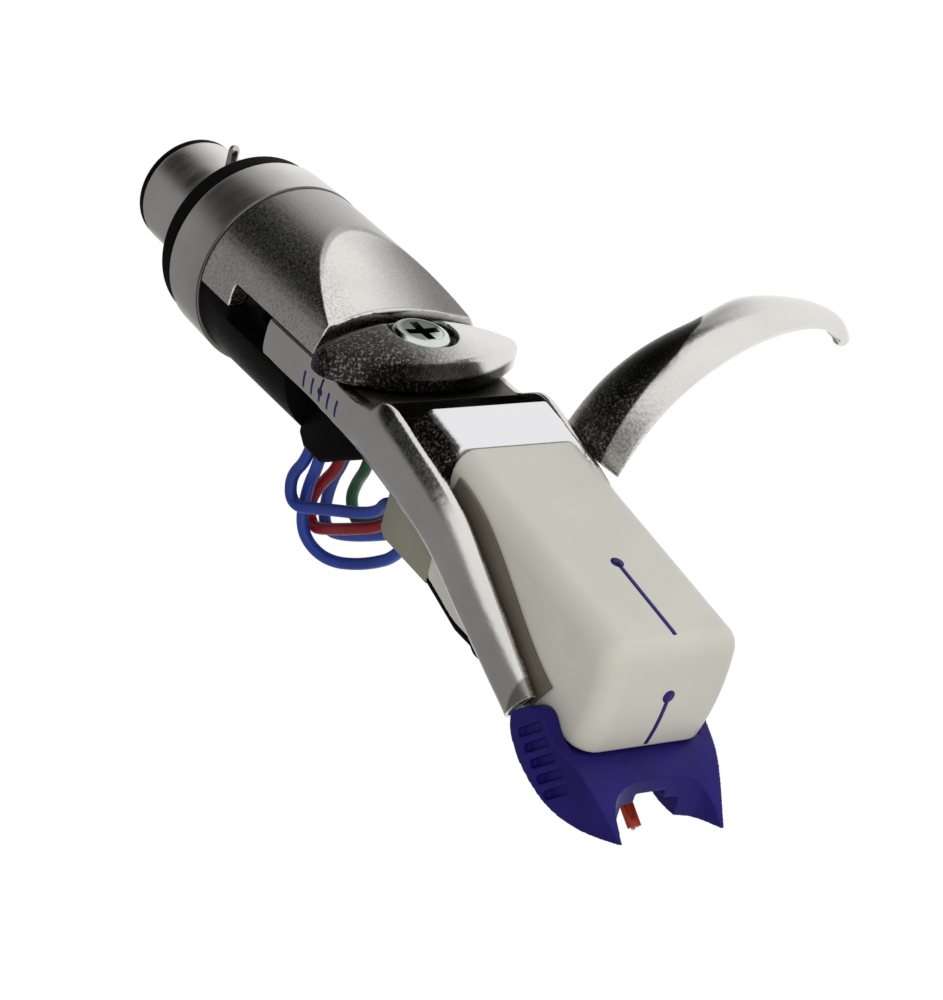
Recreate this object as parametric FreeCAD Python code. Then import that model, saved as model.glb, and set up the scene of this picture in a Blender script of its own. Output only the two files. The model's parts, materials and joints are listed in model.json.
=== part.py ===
import FreeCAD, Part
import math
import os

from FreeCAD import Vector

# Turntable cartridge with an integrated head: a bayonet connector at the rear, a cast
# head with a thumb scoop, a sliding carrier with two rails and a finger lift, the
# cartridge body between the rails and a pull-off stylus at the front.
# Millimetres. +Z up, +Y to the tonearm, +X the finger lift side. The origin is on the
# connector's axis, at the sealing face that meets the tonearm.

os.makedirs("parts", exist_ok=True)

# Connector
barrel_r = 3.9
barrel_len = 7.05
barrel_wall = 0.6
barrel_chamfer = 0.15
spigot_r = 3.5
spigot_len = 4.0
spigot_bore_r = 2.6
bayonet_r = 0.38
bayonet_y = 3.2
bayonet_top = 5.35
insulator_rim_r = 3.85
insulator_rim_t = 0.4
insulator_ledge = 0.47
contact_r = 0.6
contact_circle_r = 1.75
contact_len = 6.0
contact_proud = 0.25
seat_gap = 0.03

# Sealing washer and collar
washer_r = 6.2
washer_t = 1.5
collar_rear_r = 6.42
collar_front_r = 6.55
collar_len = 4.2
collar_chamfer = 0.25

# Head casting
head_r = 6.5
head_front_y = -18.4
head_side_y = -19.2
lip_arc_r = 23.6
parting_z = 1.6
notch_y = -9.4
notch_z = 0.0
ramp_top_y = -11.3
ramp_slope = 0.38
pad_half_width = 8.2
pad_sag = 3.5
pad_y = -21.3
pad_crown_z = 4.35
pad_crown_r = 24.0
pad_corner_r = 1.5
pad_rim_r = 0.5

# Overhang clamp
travel = 2.0
screw_head_r = 1.95
screw_head_t = 1.15
screw_recess_r = 2.3
screw_recess_depth = 1.3
screw_r = 0.8
screw_clear = 0.05
cross_w = 0.6
cross_depth = 0.7
nut_t = 0.9
nut_len = 4.6
nut_width = 5.0

# Lower cover and wire outlet
cover_r = 6.3
cover_step = 0.15
cover_rear_y = -16.8
tongue_r = 5.2
tongue_front_y = -23.75
outlet_half_width = 4.0
outlet_low_z = -6.1
outlet_front_low_z = -3.3

# Carrier
slide_gap = 0.1
carrier_rear_y = -13.9
web_t = 1.2
web_rear_y = -17.2
web_front_y = -25.4
slot_half = 1.05
slot_spare = 0.5
bridge_rear_y = -29.3
bridge_front_y = -33.2
bridge_rear_z = 3.35
top_slope = 0.1577
bridge_half_top = 4.26
bridge_half_low = 5.35
bridge_drop = 0.95
bridge_t = 2.15
bridge_foot_half = 5.9
bridge_foot_t = 0.7
bar_inner_x = 5.55
plug_depth = 0.7
plug_recess = 0.15
plug_wall = 0.3

# Finger lift
lift_nub_r = 0.55
lift_rear_edge_y = -28.9
lift_front_edge_y = -35.1

# Cartridge body
body_side_x = 4.35
body_side_front = 0.0165
body_side_up = 0.04
body_front_y = -51.5
body_low_z = -7.55
body_edge_r = 1.4
terminal_rear_y = -27.6
terminal_half = 4.3
terminal_low_z = -6.4
terminal_top_z = 0.25
terminal_mouth = 1.2
strip_t = 0.18
strip_gap = 0.05
plate_t = 0.3
socket_half = 3.0
socket_low_z = -10.2
socket_rear_y = -35.6
socket_front_y = -46.0

# Stylus
shank_r = 1.05
shank_bore_r = 0.86
shank_len = 8.6
shank_z = -8.75
shank_clear = 0.05
boss_r = 1.42
boss_front_y = -47.6
grip_gap = 0.08
groove_count = 5
groove_y = -47.55
groove_z = -7.6
groove_pitch_y = 0.76
groove_pitch_z = 0.6
groove_x = 5.7
groove_taper = 0.15
groove_len = 1.7
groove_r = 0.27
hinge_y = -46.7
tip_y = -52.0
tip_z = -12.55
cantilever_r = 0.24
blade_w = 0.8
blade_t = 0.35
blade_len = 2.6
damper_t = 0.9
magnet_r = 0.32
magnet_len = 0.3
tip_len = 0.2

# Leads
lead_r = 0.4
pin_r = 0.35
clip_r = 0.62
clip_len = 1.5
terminal_pitch = 1.94
terminal_z = -5.1
ground_z = -3.2


def box(x0, x1, y0, y1, z0, z1):
    corner = Vector(min(x0, x1), min(y0, y1), min(z0, z1))
    return Part.makeBox(abs(x1 - x0), abs(y1 - y0), abs(z1 - z0), corner)


def cylY(r, y0, y1, x=0.0, z=0.0):
    return Part.makeCylinder(r, abs(y1 - y0), Vector(x, min(y0, y1), z), Vector(0, 1, 0))


def revolveY(profile):
    """Solid of revolution about the connector's axis from (radius, y) points."""
    points = [Vector(r, y, 0) for r, y in profile]
    face = Part.Face(Part.makePolygon(points + [points[0]]))
    return face.revolve(Vector(0, 0, 0), Vector(0, 1, 0), 360)


def extrudeX(profile, x0, x1):
    """Prism across the width from a closed (y, z) outline."""
    points = [Vector(x0, y, z) for y, z in profile]
    face = Part.Face(Part.makePolygon(points + [points[0]]))
    return face.extrude(Vector(x1 - x0, 0, 0))


def splineEdge(points):
    curve = Part.BSplineCurve()
    curve.interpolate(points)
    return curve.toShape()


def mirrorX(shape):
    return shape.mirror(Vector(0, 0, 0), Vector(1, 0, 0))


def export(name, shape):
    solids = shape.Solids
    result = solids[0] if len(solids) == 1 else Part.makeCompound(solids)
    result.exportStep("parts/" + name + ".step")
    print(name, len(solids), round(shape.Volume, 3), shape.isValid())


def topZ(y):
    """Height of the flush top of the bridge and the body at a given place."""
    return bridge_rear_z + top_slope * (y - bridge_rear_y)


body_rear_y = bridge_front_y - seat_gap


def sideX(y, z):
    """Half width of the body, whose sides widen towards the nose and the top."""
    return body_side_x + body_side_front * (bridge_front_y - y) + body_side_up * (z - body_low_z)


def betweenSides(offset=0.0):
    """Prism between the planes of the body's two sides, moved outwards by the offset."""
    sections = []
    for y in (body_rear_y + 5, body_front_y - 5):
        corners = [(x * (sideX(y, z) + offset), z) for x, z in ((-1, -15), (1, -15), (1, 8), (-1, 8))]
        points = [Vector(x, y, z) for x, z in corners]
        sections.append(Part.makePolygon(points + [points[0]]))
    return Part.makeLoft(sections, True, True).Solids[0]


# Connector: the barrel with its spigot, the locking pin and the contacts
def insulatorSeat():
    """Where the wide bore ends, just past the locking pin."""
    return bayonet_y + bayonet_r + insulator_ledge


def makeBarrel():
    bore_r = barrel_r - barrel_wall
    floor_y = insulatorSeat()
    step_y = seat_gap - washer_t
    shell = revolveY([
        (spigot_bore_r, -spigot_len), (spigot_r, -spigot_len), (spigot_r, step_y),
        (barrel_r, step_y), (barrel_r, barrel_len - barrel_chamfer),
        (barrel_r - barrel_chamfer, barrel_len), (bore_r, barrel_len),
        (bore_r, floor_y), (spigot_bore_r, floor_y)])
    hole = Part.makeCylinder(bayonet_r + seat_gap, barrel_r, Vector(0, bayonet_y, 0))
    return shell.cut(hole)


def makeBayonet():
    low = spigot_bore_r + 0.1
    shaft = Part.makeCylinder(bayonet_r, bayonet_top - low - bayonet_r, Vector(0, bayonet_y, low))
    dome = Part.makeSphere(bayonet_r, Vector(0, bayonet_y, bayonet_top - bayonet_r))
    return shaft.fuse(dome).removeSplitter()


def contactPlaces():
    return [(contact_circle_r * math.cos(a), contact_circle_r * math.sin(a))
            for a in (math.radians(45 + 90 * k) for k in range(4))]


def makeInsulator():
    plug_r = barrel_r - barrel_wall - seat_gap
    stem_r = spigot_bore_r - seat_gap
    step_y = insulatorSeat() + seat_gap
    disc = revolveY([
        (0, -insulator_rim_t), (stem_r, -insulator_rim_t), (stem_r, step_y), (plug_r, step_y),
        (plug_r, barrel_len), (insulator_rim_r, barrel_len),
        (insulator_rim_r, barrel_len + insulator_rim_t), (0, barrel_len + insulator_rim_t)])
    for x, z in contactPlaces():
        disc = disc.cut(cylY(contact_r + seat_gap, -1, barrel_len + 1, x, z))
    return disc


def makeContact(x, z):
    top = barrel_len + insulator_rim_t + contact_proud
    shaft = cylY(contact_r, top - contact_len, top - 0.2, x, z)
    nose = Part.makeCone(contact_r, contact_r - 0.2, 0.2, Vector(x, top - 0.2, z), Vector(0, 1, 0))
    return shaft.fuse(nose).removeSplitter()


def makeWasher():
    edge = 0.3
    inner = barrel_r + seat_gap
    return revolveY([
        (inner, -washer_t), (washer_r - edge, -washer_t), (washer_r, -washer_t + edge),
        (washer_r, -edge), (washer_r - edge, 0), (inner, 0)])


collar_rear_y = -washer_t
collar_front_y = collar_rear_y - collar_len


def makeCollar():
    inner = spigot_r + seat_gap
    step_y = -spigot_len
    return revolveY([
        (inner, collar_rear_y), (collar_rear_r - collar_chamfer, collar_rear_y),
        (collar_rear_r, collar_rear_y - collar_chamfer),
        (collar_front_r, collar_front_y + collar_chamfer / 2),
        (collar_front_r - collar_chamfer / 2, collar_front_y),
        (spigot_bore_r, collar_front_y), (spigot_bore_r, step_y), (inner, step_y)])


# Head casting: a half round shell with a flat thumb scoop that ends in a lip, and a
# lens shaped clamp pad that carries on forward under the lip.
head_rear_y = collar_front_y - seat_gap


def makePad():
    arc_r = (pad_half_width ** 2 + pad_sag ** 2) / (2 * pad_sag)
    depth = 12.0
    front = Part.makeCylinder(arc_r, depth, Vector(0, pad_y - pad_sag + arc_r, parting_z))
    rear = Part.makeCylinder(arc_r, depth, Vector(0, pad_y + pad_sag - arc_r, parting_z))
    lens = front.common(rear)
    tips = [e for e in lens.Edges
            if e.BoundBox.ZLength > depth - 0.1 and abs(abs(e.BoundBox.Center.x) - pad_half_width) < 0.1]
    lens = lens.makeFillet(pad_corner_r, tips)
    crown = Part.makeSphere(pad_crown_r, Vector(0, pad_y, pad_crown_z - pad_crown_r))
    pad = lens.common(crown)
    rim = [e for e in pad.Edges if e.BoundBox.ZMin > parting_z + 0.5]
    return pad.makeFillet(pad_rim_r, rim)


def rampZ(y):
    """Height of the thumb scoop's flat, which meets the round top at ramp_top_y."""
    return head_r - ramp_slope * (ramp_top_y - y)


def makeHead():
    blank = cylY(head_r, head_rear_y, head_side_y)
    low = box(-10, 10, head_rear_y + 1, notch_y, -10, notch_z)
    low_front = box(-10, 10, notch_y, head_side_y - 1, -10, parting_z)
    head = blank.cut(low).cut(low_front)
    run = 20.0
    scoop = extrudeX([
        (ramp_top_y + run, rampZ(ramp_top_y + run)), (ramp_top_y - run, rampZ(ramp_top_y - run)),
        (ramp_top_y - run, 30), (ramp_top_y + run, 30)], -10, 10)
    head = head.cut(scoop)
    front = Part.makeCylinder(lip_arc_r, 20, Vector(0, head_front_y - lip_arc_r, 0))
    head = head.cut(front)
    seam = [e for e in head.Edges
            if abs(e.BoundBox.YMin - head_rear_y) < 0.01 and e.BoundBox.YLength < 0.01
            and e.BoundBox.XLength > 8 and abs(e.BoundBox.ZMax - head_r) < 0.1]
    if seam:
        head = head.makeChamfer(0.12, seam)
    head = head.fuse(makePad()).removeSplitter()
    recess = Part.makeCylinder(screw_recess_r, 5, Vector(0, pad_y, pad_crown_z - screw_recess_depth))
    shank = Part.makeCylinder(screw_r + screw_clear, 12, Vector(0, pad_y, parting_z - 3))
    return head.cut(recess).cut(shank)


web_top_z = parting_z - slide_gap
web_low_z = web_top_z - web_t
nut_top_z = web_low_z - slide_gap
tongue_low_top_z = nut_top_z - nut_t


def makeScrew():
    seat_z = pad_crown_z - screw_recess_depth + seat_gap
    head = Part.makeCylinder(screw_head_r, screw_head_t, Vector(0, pad_y, seat_z))
    rim = [e for e in head.Edges if e.BoundBox.ZMin > seat_z + screw_head_t - 0.05]
    head = head.makeFillet(0.45, rim)
    for dx, dy in ((1.35, cross_w / 2), (cross_w / 2, 1.35)):
        head = head.cut(box(-dx, dx, pad_y - dy, pad_y + dy,
                            seat_z + screw_head_t - cross_depth, seat_z + screw_head_t + 1))
    shank = Part.makeCylinder(screw_r, seat_z - (nut_top_z - nut_t) + 0.1,
                              Vector(0, pad_y, nut_top_z - nut_t))
    return head.fuse(shank).removeSplitter()


def makeNut():
    plate = box(-nut_width / 2, nut_width / 2, pad_y - nut_len / 2, pad_y + nut_len / 2,
                nut_top_z - nut_t, nut_top_z)
    corners = [e for e in plate.Edges if e.BoundBox.ZLength > nut_t - 0.01]
    plate = plate.makeFillet(0.6, corners)
    return plate.cut(Part.makeCylinder(screw_r + screw_clear, 4, Vector(0, pad_y, nut_top_z - nut_t - 1)))


# Black lower cover: the belly of the head, with a tongue that runs on between the
# carrier's sides and carries the clamp nut.
cover_top_z = parting_z - 2.5 - cover_step


def makeCover():
    belly = cylY(cover_r, head_rear_y, cover_rear_y)
    belly = belly.cut(box(-10, 10, head_rear_y + 1, notch_y + cover_step, notch_z - cover_step / 2, 10))
    belly = belly.cut(box(-10, 10, notch_y + cover_step, cover_rear_y - 1, cover_top_z, 10))
    tongue = cylY(tongue_r, notch_y - cover_step, tongue_front_y)
    tongue = tongue.cut(box(-10, 10, notch_y + 1, carrier_rear_y + travel + 0.3, parting_z - 0.05, 10))
    tongue = tongue.cut(box(-10, 10, carrier_rear_y + travel + 0.3, tongue_front_y - 1, nut_top_z, 10))
    pocket_rear = pad_y + nut_len / 2 + 0.1
    tongue = tongue.cut(box(-nut_width / 2 - 0.1, nut_width / 2 + 0.1, pocket_rear, tongue_front_y - 1,
                            tongue_low_top_z, 10))
    tongue = tongue.cut(box(-10, 10, cover_rear_y + 2, tongue_front_y - 1, -10, cover_top_z - 0.6))
    cover = belly.fuse(tongue).removeSplitter()
    passage = cylY(spigot_bore_r, head_rear_y + 1, head_rear_y - 2.5)
    return cover.cut(passage)


def makeOutlet():
    top = cover_top_z - 0.6
    block = extrudeX([
        (cover_rear_y, top), (cover_rear_y, outlet_low_z + 0.5),
        (cover_rear_y - 0.6, outlet_low_z), (cover_rear_y - 2.6, outlet_low_z),
        (tongue_front_y - 0.2, outlet_front_low_z), (tongue_front_y - 0.2, top)],
        -outlet_half_width, outlet_half_width)
    long_edges = [e for e in block.Edges
                  if e.BoundBox.XLength < 0.01 and e.BoundBox.ZMax < top - 0.3
                  and e.BoundBox.YLength > 0.3]
    block = block.makeFillet(0.4, long_edges)
    for x, y in leadExits():
        block = block.cut(Part.makeCylinder(lead_r + seat_gap, 2.2, Vector(x, y, outlet_low_z - 0.2)))
    return block


def leadExits():
    return [(-3.2, cover_rear_y - 0.6), (-3.1, cover_rear_y - 1.6), (-1.5, cover_rear_y - 1.8),
            (0.2, cover_rear_y - 2.4), (-0.6, cover_rear_y - 1.0)]


# Carrier: side bars that start under the head's edge, swell into half round rails and
# run down both sides of the body, joined by a plate under the pad and by the bridge.
# Each station is (y, z, half height, slope in degrees, inner x, edge x, outer x).
rail_stations = [
    (carrier_rear_y, web_top_z - 1.25, 1.25, 0, bar_inner_x, 6.24, 6.40),
    (-17.0, web_top_z - 1.25, 1.25, 0, bar_inner_x, 6.24, 6.40),
    (-20.0, web_top_z - 1.25, 1.25, 0, bar_inner_x, 6.22, 6.42),
    (-24.8, web_top_z - 1.47, 1.37, 0, bar_inner_x, 6.15, 6.52),
    (-27.0, 0.42, 2.12, 4, 5.6, 6.0, 6.95),
    (-31.5, -0.40, 2.10, 14, 5.6, 6.0, 7.0),
    (-35.5, -1.53, 2.0, 25, 5.45, 5.9, 6.95),
    (-39.65, -3.83, 1.77, 32, 5.3, 5.7, 6.78),
    (-45.7, -7.40, 1.41, 33, 5.05, 5.6, 6.2)]


def railSection(y, z, h, angle, xi, xe, xo, inset=0.0, shift=0.0):
    a = math.radians(angle)
    up = (-math.sin(a), math.cos(a))
    along = (-math.cos(a), -math.sin(a))

    def at(x, s):
        return Vector(x, y + along[0] * shift + up[0] * s, z + along[1] * shift + up[1] * s)

    h = h - inset
    low_in = at(xi + inset, -h)
    low_out = at(xe, -h)
    mid = at(xo - inset, 0)
    top_out = at(xe, h)
    top_in = at(xi + inset, h)
    edges = [Part.LineSegment(low_in, low_out).toShape(), Part.Arc(low_out, mid, top_out).toShape(),
             Part.LineSegment(top_out, top_in).toShape(), Part.LineSegment(top_in, low_in).toShape()]
    return Part.Wire(edges)


def evenStations(stations, count):
    """The same bar with stations spread evenly along it, joined by smooth slopes."""
    dist = [0.0]
    for a, b in zip(stations, stations[1:]):
        dist.append(dist[-1] + math.hypot(b[0] - a[0], b[1] - a[1]))
    last = len(stations) - 1
    slopes = []
    for k in range(len(stations)):
        lo = max(k - 1, 0)
        hi = min(k + 1, last)
        slopes.append([(q - p) / (dist[hi] - dist[lo]) for p, q in zip(stations[lo], stations[hi])])
    result = []
    for n in range(count):
        d = dist[-1] * n / (count - 1)
        k = min(max(i for i in range(last) if dist[i] <= d + 1e-9), last - 1)
        span = dist[k + 1] - dist[k]
        t = (d - dist[k]) / span
        h = (2 * t ** 3 - 3 * t ** 2 + 1, t ** 3 - 2 * t ** 2 + t, 3 * t ** 2 - 2 * t ** 3, t ** 3 - t ** 2)
        result.append(tuple(
            h[0] * p + h[1] * span * mp + h[2] * q + h[3] * span * mq
            for p, q, mp, mq in zip(stations[k], stations[k + 1], slopes[k], slopes[k + 1])))
    return result


def solidLoft(sections, ruled=False):
    return Part.makeLoft(sections, True, ruled).Solids[0]


def makeRail():
    rail = solidLoft([railSection(*s) for s in evenStations(rail_stations, 19)])
    end = rail_stations[-1]
    recess = solidLoft([railSection(*end, inset=plug_wall, shift=-plug_depth),
                        railSection(*end, inset=plug_wall, shift=0.5)], True)
    return rail.cut(recess)


def makePlug():
    end = rail_stations[-1]
    inset = plug_wall + seat_gap
    return solidLoft([railSection(*end, inset=inset, shift=-plug_depth + seat_gap),
                      railSection(*end, inset=inset, shift=-plug_recess)], True)


def bridgeSection(y):
    z = topZ(y)
    low = z - bridge_t
    half = [(bridge_foot_half, low), (bridge_foot_half, low + bridge_foot_t),
            (bridge_half_low, low + bridge_foot_t), (bridge_half_low, z - bridge_drop), (bridge_half_top, z)]
    outline = half + [(-x, h) for x, h in half[::-1]]
    points = [Vector(x, y, h) for x, h in outline]
    return Part.makePolygon(points + [points[0]])


def makeCarrier():
    rail = makeRail()
    bridge = solidLoft([bridgeSection(bridge_rear_y), bridgeSection(bridge_front_y)], True)
    return rail.fuse(mirrorX(rail)).fuse(bridge).removeSplitter()


def makeSlidePlate():
    """Plate between the side bars under the pad, with the slot for the clamp screw."""
    half = bar_inner_x - seat_gap
    plate = box(-half, half, web_rear_y, web_front_y, web_low_z, web_top_z)
    run = travel + screw_r + slot_spare
    return plate.cut(box(-slot_half, slot_half, pad_y - run, pad_y + run, -5, 5))


# Finger lift: a tapering half round bar that leaves the right rail steeply and curls
# over. Each station is (x, z, rear y, front y, thickness, direction in degrees).
lift_stations = [
    (5.9, 1.3, lift_rear_edge_y, lift_front_edge_y, 1.5, 62),
    (6.9, 4.2, -29.2, -35.05, 1.9, 57),
    (8.8, 6.8, -29.6, -35.0, 1.8, 47),
    (11.4, 9.0, -30.2, -34.95, 1.7, 34),
    (14.5, 10.6, -30.9, -34.9, 1.5, 21),
    (17.5, 11.35, -31.5, -34.8, 1.35, 8),
    (20.2, 11.3, -32.1, -34.7, 1.2, -10),
    (22.2, 10.5, -32.5, -34.6, 1.05, -32),
    (23.15, 9.35, -32.75, -34.5, 0.9, -62)]


def liftSection(x, z, y_rear, y_front, thick, angle):
    a = math.radians(angle)
    down = (math.sin(a), -math.cos(a))

    def at(y, s):
        return Vector(x + down[0] * s, y, z + down[1] * s)

    width = y_rear - y_front
    rise = 0.55 * thick
    rear_low = at(y_rear - 0.12 * width, thick)
    rear_top = at(y_rear, rise)
    crest = at(y_rear - 0.42 * width, 0)
    front_top = at(y_front, rise)
    front_low = at(y_front + 0.12 * width, thick)
    edges = [Part.LineSegment(front_low, rear_low).toShape(), Part.LineSegment(rear_low, rear_top).toShape(),
             Part.Arc(rear_top, crest, front_top).toShape(), Part.LineSegment(front_top, front_low).toShape()]
    return Part.Wire(edges)


def makeLift(carrier):
    bar = solidLoft([liftSection(*s) for s in lift_stations])
    x, z, y_rear, y_front, thick, angle = lift_stations[-1]
    nub = Part.makeSphere(lift_nub_r, Vector(x - 0.25, (y_rear + y_front) / 2, z - 0.35))
    lift = bar.fuse(nub).cut(carrier)
    return max(lift.Solids, key=lambda s: s.Volume)


# Cartridge body: a wedge with drafted sides, rounded long edges and a bowed nose
def makeBody():
    bow = 0.3
    top_front = Vector(-9, body_front_y + bow, topZ(body_front_y + bow))
    low_front = Vector(-9, body_front_y + 0.75, body_low_z)
    bottom = [Vector(-9, -37.0, -7.3), Vector(-9, body_rear_y, -6.2),
              Vector(-9, body_rear_y, topZ(body_rear_y)), top_front]
    nose = Part.Arc(top_front, Vector(-9, body_front_y, -3.4), low_front).toShape()
    edges = [nose, Part.LineSegment(low_front, bottom[0]).toShape()]
    edges += [Part.LineSegment(a, b).toShape() for a, b in zip(bottom, bottom[1:])]
    body = Part.Face(Part.Wire(edges)).extrude(Vector(18, 0, 0)).common(betweenSides())
    rounded = []
    low = []
    for e in body.Edges:
        b = e.BoundBox
        if b.YMin > body_rear_y - 0.1:
            continue
        if b.ZMin > -1 or (b.ZLength > 5 and b.YMax < body_front_y + 2):
            rounded.append(e)
        elif b.ZMax < -5:
            low.append(e)
    body = body.makeFillet(body_edge_r, rounded)
    low = [e for e in body.Edges if e.BoundBox.ZMax < -6.1 and e.BoundBox.YMin < body_rear_y - 1
           and (e.BoundBox.YLength > 8 or (e.BoundBox.XLength > 5 and e.BoundBox.YMax < -50))]
    return body.makeFillet(0.3, low)


def makeTerminalBlock():
    front = body_rear_y + seat_gap
    outline = [(terminal_rear_y, terminal_top_z), (terminal_rear_y, terminal_low_z + 0.5),
               (terminal_rear_y - 0.5, terminal_low_z), (front, terminal_low_z - 0.25),
               (front, topZ(front) - bridge_t - seat_gap),
               (bridge_rear_y, topZ(bridge_rear_y) - bridge_t - seat_gap), (bridge_rear_y, terminal_top_z)]
    block = extrudeX(outline, -terminal_half, terminal_half)
    mouth = box(-terminal_half + 0.6, terminal_half - 0.6, terminal_rear_y + 1,
                terminal_rear_y - terminal_mouth, terminal_low_z + 0.5, terminal_top_z - 0.55)
    block = block.cut(mouth)
    for x, z in terminals():
        block = block.cut(cylY(pin_r + seat_gap, terminal_rear_y, terminal_rear_y - 3.6, x, z))
    return block


def terminals():
    return [((k - 1.5) * terminal_pitch, terminal_z) for k in range(4)]


def makeTerminalPin(x, z):
    rear = clip_rear_y - 0.45
    pin = cylY(pin_r, rear, terminal_rear_y - 3.5, x, z)
    tip = [e for e in pin.Edges if e.BoundBox.YMin > rear - 0.01]
    return pin.makeChamfer(0.1, tip)


clip_front_y = terminal_rear_y - terminal_mouth + 0.1
clip_rear_y = clip_front_y + clip_len


def makeClip(x, z):
    clip = cylY(clip_r, clip_front_y, clip_rear_y, x, z)
    bore = cylY(pin_r + seat_gap, clip_front_y - 1, clip_rear_y - 0.35, x, z)
    slot = box(x - 0.12, x + 0.12, clip_front_y - 0.5, clip_rear_y - 0.35, z + 0.1, z + 1)
    rim = [e for e in clip.Edges if e.BoundBox.YMin > clip_rear_y - 0.01]
    return clip.makeChamfer(0.2, rim).cut(bore).cut(slot)


def makeStrip():
    """Thin shield plate along the body's side, a little higher than the rail beside it."""
    picks = [(-33.5, -1.05, 1.95, 19)] + [s[:4] for s in rail_stations if s[0] < bridge_front_y]
    tops = []
    lows = []
    for (y, z, h, angle), rise in zip(picks, (0.65, 0.7, 0.9, 1.2)):
        a = math.radians(angle)
        top = h + rise
        low = h - 0.5
        tops.append(Vector(0, y - math.sin(a) * top, z + math.cos(a) * top))
        lows.append(Vector(0, y + math.sin(a) * low, z - math.cos(a) * low))
    edges = [splineEdge(tops), Part.LineSegment(tops[-1], lows[-1]).toShape(),
             splineEdge(lows[::-1]), Part.LineSegment(lows[0], tops[0]).toShape()]
    side = Part.Face(Part.Wire(edges)).extrude(Vector(8, 0, 0))
    side = side.cut(box(0, 8, body_rear_y, 0, -20, 20))
    return side.common(betweenSides(strip_gap + strip_t)).cut(betweenSides(strip_gap))


# Black bottom plate under the body, with the socket that takes the stylus shank
def makeBottomPlate():
    plate = extrudeX([(body_rear_y, -6.2 - seat_gap), (-37.0, -7.3 - seat_gap),
                      (socket_front_y, body_low_z + 0.16 - seat_gap),
                      (socket_front_y, body_low_z - plate_t), (-37.0, -7.3 - plate_t),
                      (body_rear_y, -6.2 - plate_t)], -8, 8).common(betweenSides(-0.05))
    socket = box(-socket_half, socket_half, socket_rear_y, socket_front_y, socket_low_z, -7.45)
    rear_low = [e for e in socket.Edges
                if e.BoundBox.XLength > 5 and e.BoundBox.ZMax < socket_low_z + 0.1
                and e.BoundBox.YMin > socket_rear_y - 0.1]
    socket = socket.makeChamfer(0.9, rear_low)
    sides = [e for e in socket.Edges if e.BoundBox.YLength > 5 and e.BoundBox.ZMax < socket_low_z + 0.1]
    socket = socket.makeFillet(0.6, sides)
    plate = plate.fuse(socket).cut(makeBody())
    bore = cylY(shank_r + shank_clear, socket_front_y - 1, socket_front_y + shank_len, 0, shank_z)
    return plate.cut(bore).removeSplitter()


# Stylus grip: one moulding that wraps the nose from below, with ribbed finger cheeks
# and two guard prongs either side of the stylus.
def makeGrip():
    upper = [(-45.7, -7.6), (-46.5, -6.75), (-47.6, -6.25), (-48.3, -6.5), (-48.9, -7.05), (-50.0, -7.5),
             (-51.4, -7.95), (-53.1, -9.0), (-54.6, -10.2), (-55.25, -10.75)]
    lower = [(-55.25, -10.75), (-53.6, -11.2), (-51.8, -11.4), (-50.0, -11.1), (-48.4, -10.4), (-46.9, -9.45),
             (-45.95, -8.35)]
    up = splineEdge([Vector(-8, y, z) for y, z in upper])
    down = splineEdge([Vector(-8, y, z) for y, z in lower])
    back = Part.LineSegment(Vector(-8, *lower[-1]), Vector(-8, *upper[0])).toShape()
    side = Part.Face(Part.Wire([up, down, back])).extrude(Vector(16, 0, 0))

    outer = [(6.15, -45.0), (6.05, -47.0), (5.8, -49.0), (5.3, -51.0), (4.65, -53.0), (4.1, -54.5), (3.8, -55.4)]
    inner = [(3.6, -55.4), (3.55, -54.2), (3.15, -53.2), (2.3, -52.7), (1.2, -52.5), (0, -52.45),
             (-1.2, -52.5), (-2.3, -52.7), (-3.15, -53.2), (-3.55, -54.2), (-3.6, -55.4)]
    right = splineEdge([Vector(x, y, -14) for x, y in outer])
    left = splineEdge([Vector(-x, y, -14) for x, y in outer[::-1]])
    arch = splineEdge([Vector(x, y, -14) for x, y in inner])
    tip = [Vector(outer[-1][0], outer[-1][1], -14), Vector(*inner[0], -14)]
    edges = [right, Part.LineSegment(*tip).toShape(), arch,
             Part.LineSegment(*[Vector(-p.x, p.y, p.z) for p in tip[::-1]]).toShape(), left,
             Part.LineSegment(Vector(-outer[0][0], -45.0, -14), Vector(outer[0][0], -45.0, -14)).toShape()]
    plan = Part.Face(Part.Wire(edges)).extrude(Vector(0, 0, 10))
    grip = side.common(plan)

    around = betweenSides(grip_gap)
    grip = grip.cut(around.common(box(-8, 8, -44, body_front_y + 0.7, body_low_z - grip_gap, 0)))
    grip = grip.cut(around.common(box(-8, 8, -40, socket_front_y - 0.1, -20, 0)))
    boss = cylY(boss_r, socket_front_y - 0.1, boss_front_y - 0.4, 0, shank_z)
    boss = boss.cut(box(-5, 5, -40, -60, body_low_z - grip_gap, 0))
    grip = grip.fuse(boss)
    channel = box(-2.15, 2.15, boss_front_y - 1.0, -60, -20, -10.05)
    well = extrudeX([(boss_front_y, shank_z + 0.75), (boss_front_y - 1.2, shank_z - 0.05), (-52.8, -9.6),
                     (-60, -9.6), (-60, -20), (boss_front_y, -20)], -1.1, 1.1)
    grip = grip.cut(channel).cut(well)
    grip = grip.cut(cylY(shank_r + seat_gap, -45, boss_front_y - 0.5, 0, shank_z))
    for k in range(groove_count):
        y = groove_y - groove_pitch_y * k
        z = groove_z - groove_pitch_z * k
        floor = groove_x - groove_taper * k
        cutter = slotPrism(y, z, groove_len, groove_r, 135, floor, floor + 2)
        grip = grip.cut(cutter).cut(mirrorX(cutter))
    return max(grip.Solids, key=lambda s: s.Volume)


def makeShank():
    rear_y = socket_front_y + shank_len
    tube = cylY(shank_r, boss_front_y, rear_y, 0, shank_z)
    rear = [e for e in tube.Edges if e.BoundBox.YMin > rear_y - 0.1]
    tube = tube.makeChamfer(0.15, rear)
    return tube.cut(cylY(shank_bore_r, boss_front_y - 1, boss_front_y + 4.0, 0, shank_z))


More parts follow.
